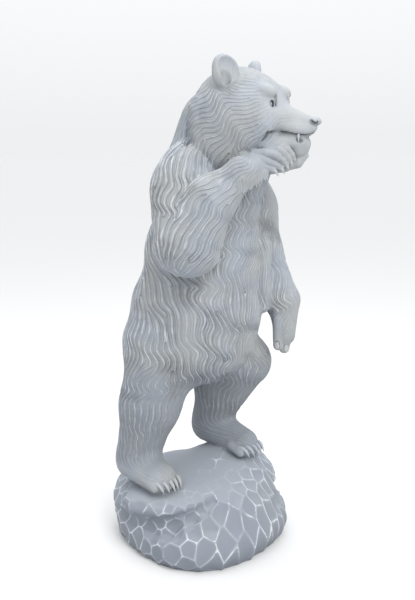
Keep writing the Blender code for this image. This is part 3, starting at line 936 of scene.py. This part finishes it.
# ------------------------------------------------------------------ materials
class Nodes:
    """A short way to write a node tree."""

    def __init__(self, material):
        material.use_nodes = True
        self.tree = material.node_tree
        self.shader = self.tree.nodes["Principled BSDF"]

    def new(self, kind, **settings):
        node = self.tree.nodes.new(kind)
        for key, value in settings.items():
            setattr(node, key, value)
        return node

    def link(self, a, b):
        self.tree.links.new(a, b)

    def put(self, socket, value):
        if hasattr(value, "is_linked") or hasattr(value, "links"):
            self.link(value, socket)
        else:
            socket.default_value = value

    def math(self, operation, a, b=None, c=None, clamp=False):
        node = self.new("ShaderNodeMath", operation=operation, use_clamp=clamp)
        for socket, value in zip(node.inputs, (a, b, c)):
            if value is not None:
                self.put(socket, value)
        return node.outputs[0]

    def mix(self, factor, a, b):
        node = self.new("ShaderNodeMix", data_type="RGBA", clamp_factor=True)
        self.put(node.inputs[0], factor)
        self.put(node.inputs[6], a)
        self.put(node.inputs[7], b)
        return node.outputs[2]

    def between(self, value, low, high, to_low=0.0, to_high=1.0):
        node = self.new("ShaderNodeMapRange", interpolation_type="SMOOTHSTEP", clamp=True)
        for socket, x in zip(node.inputs, (value, low, high, to_low, to_high)):
            self.put(socket, x)
        return node.outputs[0]

    def noise(self, scale, detail=3.0, roughness=.55, stretch=None):
        place = self.new("ShaderNodeTexCoord").outputs["Object"]
        if stretch is not None:
            mapping = self.new("ShaderNodeMapping")
            mapping.inputs["Scale"].default_value = stretch
            self.link(place, mapping.inputs["Vector"])
            place = mapping.outputs[0]
        node = self.new("ShaderNodeTexNoise")
        self.link(place, node.inputs["Vector"])
        node.inputs["Scale"].default_value = scale
        node.inputs["Detail"].default_value = detail
        node.inputs["Roughness"].default_value = roughness
        return node.outputs[0]

    def parts(self, name):
        attribute = self.new("ShaderNodeAttribute", attribute_name=name)
        split = self.new("ShaderNodeSeparateXYZ")
        self.link(attribute.outputs["Vector"], split.inputs[0])
        return split.outputs


MID = (.288, .311, .350, 1)
DEEP = (.160, .176, .202, 1)
PALE = (.530, .555, .590, 1)
WARM = (.305, .316, .320, 1)
MOUND = (.222, .244, .286, 1)
LINE = (.62, .65, .68, 1)


def stone_material(name, carved_surface=True):
    material = bpy.data.materials.new(name)
    n = Nodes(material)
    n.shader.inputs["Specular IOR Level"].default_value = .32
    n.shader.inputs["Metallic"].default_value = 0.0
    mottle = n.noise(5.5, 4, .6)
    patch = n.noise(17, 4, .6)
    grain = n.noise(420, 4, .7)
    speck = n.noise(900, 2, .6)
    drift = n.noise(38, 3, .6)
    colour = n.mix(n.between(mottle, .38, .66), MID, WARM)
    colour = n.mix(n.math("MULTIPLY", n.between(patch, .50, .72), .22), colour, DEEP)
    height = n.math("MULTIPLY", grain, .22)
    if carved_surface:
        cosine, sine, coat = n.parts("coat")
        bend, hollow, off_ridge = n.parts("wear_and_painted_shade")
        rock, ridged, recess_shade = n.parts("parts")
        wander, head, painted_shade_and_light = n.parts("strand")
        turn = n.math("ARCTAN2", sine, cosine)
        fine_turn = n.math("ADD", n.math("MULTIPLY", turn, 3.0), wander)
        strand = n.math("COSINE", fine_turn)
        # distance from the crest of the lock, 0 to 1
        off_crest = n.math("COSINE", n.math("SUBTRACT", turn, LOCK_PEAK * 2 * math.pi))
        crest = n.math("MULTIPLY", n.between(off_crest, .84, .998), coat)
        groove = n.math("MULTIPLY", n.between(n.math("COSINE", turn), .74, 1.0), coat)
        hair = n.math("COSINE", n.math("ADD", n.math("MULTIPLY", fine_turn, 3.0), n.math("MULTIPLY", drift, 8.0)))
        patchy = n.between(n.noise(38, 3, .6), .40, .62)
        line = n.math("MULTIPLY", crest, n.math("ADD", n.math("MULTIPLY", patchy, .80), .20))
        thin = n.math("MULTIPLY", n.math("MULTIPLY", n.between(strand, .80, 1.0), coat), n.math("MULTIPLY", patchy, .50))
        between = n.math("MULTIPLY", n.between(strand, -.70, -1.0), coat)
        colour = n.mix(rock, colour, n.mix(n.between(mottle, .38, .66), MOUND, (.225, .242, .270, 1)))
        # painted shade in the grooves of the locks and between the strands
        colour = n.mix(n.math("MULTIPLY", groove, .55), colour, DEEP)
        colour = n.mix(n.math("MULTIPLY", between, .30), colour, DEEP)
        # painted shade on the hind legs and the mound's foot, painted light on the mound's top
        colour = n.mix(n.math("MULTIPLY", painted_shade_and_light, .56), colour, DEEP)
        colour = n.mix(n.math("MULTIPLY", painted_shade_and_light, -.24), colour, PALE)
        # painted light: the head is painted paler
        colour = n.mix(n.math("MULTIPLY", head, .09), colour, PALE)
        # painted shade: the stone darker in the hollows, less on the mound
        hollow_shade = n.math("MULTIPLY", n.between(hollow, .32, .95), n.math("SUBTRACT", .55, n.math("MULTIPLY", rock, .32)))
        colour = n.mix(hollow_shade, colour, DEEP)
        # painted shade in concave creases
        colour = n.mix(n.between(bend, -.12, -1.0, 0.0, .50), colour, DEEP)
        colour = n.mix(n.between(bend, .12, .95, 0.0, .42), colour, PALE)
        colour = n.mix(n.math("MULTIPLY", line, .46), colour, LINE)
        colour = n.mix(thin, colour, PALE)
        # the worn ridges of the mound: a thin pale line with a soft halo
        away = n.math("ADD", n.math("MULTIPLY", off_ridge, 20.0), n.math("MULTIPLY", n.math("SUBTRACT", patch, .5), 1.6))
        ridge = n.math("MULTIPLY", n.between(away, 2.0, .6), ridged)
        halo = n.math("MULTIPLY", n.between(away, 6.5, .5), ridged)
        colour = n.mix(n.math("MULTIPLY", halo, .16), colour, PALE)
        colour = n.mix(n.math("MULTIPLY", ridge, n.between(n.noise(14, 2, .5), .36, .58, .12, .75)), colour, LINE)
        # painted shade in the face's small recesses
        colour = n.mix(n.math("MULTIPLY", recess_shade, .78), colour, (.045, .050, .058, 1))
        height = n.math("ADD", height, n.math("MULTIPLY", n.math("MULTIPLY", strand, coat), .55))
        height = n.math("ADD", height, n.math("MULTIPLY", n.math("MULTIPLY", hair, coat), .30))
        rough = n.between(crest, 0, 1, .88, .78)
    else:
        colour = n.mix(.20, colour, PALE)
        rough = n.between(patch, .3, .7, .72, .84)
    colour = n.mix(n.between(grain, .60, .80, 0.0, .20), colour, PALE)
    colour = n.mix(n.between(grain, .40, .22, 0.0, .25), colour, DEEP)
    colour = n.mix(n.between(speck, .68, .80, 0.0, .30), colour, DEEP)
    bump = n.new("ShaderNodeBump")
    bump.inputs["Strength"].default_value = .8
    bump.inputs["Distance"].default_value = .001
    n.link(height, bump.inputs["Height"])
    n.link(bump.outputs[0], n.shader.inputs["Normal"])
    n.link(colour, n.shader.inputs["Base Color"])
    n.link(rough, n.shader.inputs["Roughness"])
    return material


def eye_material():
    material = bpy.data.materials.new("eye_stone")
    n = Nodes(material)
    n.shader.inputs["Specular IOR Level"].default_value = .6
    n.link(n.mix(n.between(n.noise(160, 3), .35, .65), (.200, .215, .245, 1), (.300, .320, .350, 1)), n.shader.inputs["Base Color"])
    n.link(n.between(n.noise(90, 2), .3, .7, .42, .60), n.shader.inputs["Roughness"])
    return material


stone = stone_material("carved_stone")
for statue in statue_bands:
    statue.data.materials.append(stone)
    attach(statue, "root")
    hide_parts("bear_statue")

claw_stone = stone_material("claw_stone", carved_surface=False)
small_piece("foot_claws", foot_claws, claw_stone)
small_piece("paw_claws", paw_claws, claw_stone)
small_piece("hand_nails", hand_nails, claw_stone)
small_piece("teeth", teeth, claw_stone)
small_piece("eyes", eyeballs, eye_material())

# ------------------------------------------------------------------ studio
SKY_LOW, SKY_HIGH = .88, 1.50
KEY_WATTS, TOP_WATTS = 85, 45
scene = bpy.context.scene
scene.view_settings.view_transform = "Standard"
scene.view_settings.look = "None"

floor_data = bpy.data.meshes.new("floor")
bm = bmesh.new()
bmesh.ops.create_circle(bm, cap_ends=True, cap_tris=False, segments=96, radius=40.0)
bm.to_mesh(floor_data)
bm.free()
floor = add_object("floor", floor_data)
floor.location.z = -.0004
pale = bpy.data.materials.new("pale_floor")
pale.use_nodes = True
pale.node_tree.nodes["Principled BSDF"].inputs["Base Color"].default_value = (.68, .68, .68, 1)
pale.node_tree.nodes["Principled BSDF"].inputs["Roughness"].default_value = .95
pale.node_tree.nodes["Principled BSDF"].inputs["Specular IOR Level"].default_value = .1
floor_data.materials.append(pale)

world = scene.world or bpy.data.worlds.new("studio")
scene.world = world
world.use_nodes = True
sky = world.node_tree.nodes["Background"]
# an overcast sky: brighter overhead than at the horizon, where it meets the floor in one tone
tree = world.node_tree
toward = tree.nodes.new("ShaderNodeTexCoord")
height_of = tree.nodes.new("ShaderNodeSeparateXYZ")
brighter = tree.nodes.new("ShaderNodeMapRange")
brighter.clamp = True
for socket, value in zip(brighter.inputs[1:5], (0.0, 1.0, SKY_LOW, SKY_HIGH)):
    socket.default_value = value
tree.links.new(toward.outputs["Generated"], height_of.inputs[0])
tree.links.new(height_of.outputs["Z"], brighter.inputs[0])
tree.links.new(brighter.outputs[0], sky.inputs["Strength"])
sky.inputs["Color"].default_value = (.975, .99, 1.0, 1)


def soft_light(name, at, aim, size, watts, colour=(1, 1, 1)):
    data = bpy.data.lights.new(name, "AREA")
    data.shape, data.size, data.energy, data.color = "DISK", size, watts, colour
    made = bpy.data.objects.new(name, data)
    scene.collection.objects.link(made)
    made.location = Vector(at)
    made.rotation_euler = (Vector(aim) - Vector(at)).to_track_quat("-Z", "Y").to_euler()
    return made


MIDDLE = (0, 0, .85)
soft_light("key", rp(1.2, -2.6, 3.2), MIDDLE, 2.2, KEY_WATTS, (1, .995, .98))
soft_light("top", rp(-.3, .6, 3.6), MIDDLE, 2.5, TOP_WATTS)

camera_data = bpy.data.cameras.new("camera")
camera = bpy.data.objects.new("camera", camera_data)
scene.collection.objects.link(camera)
CAMERA_BACK, CAMERA_SIDE, CAMERA_HEIGHT, CAMERA_DOWN = 2.5, .026, 1.27, math.radians(11.5)
camera_data.sensor_width = 36.0
camera_data.lens = 823.0 * 36.0 / 600.0
camera_data.clip_start, camera_data.clip_end = .05, 200
camera.location = Vector(rp(CAMERA_SIDE, -CAMERA_BACK, CAMERA_HEIGHT))
camera.rotation_euler = (math.radians(90) - CAMERA_DOWN, 0, VIEW_TURN)
scene.camera = camera

bpy.context.view_layer.update()
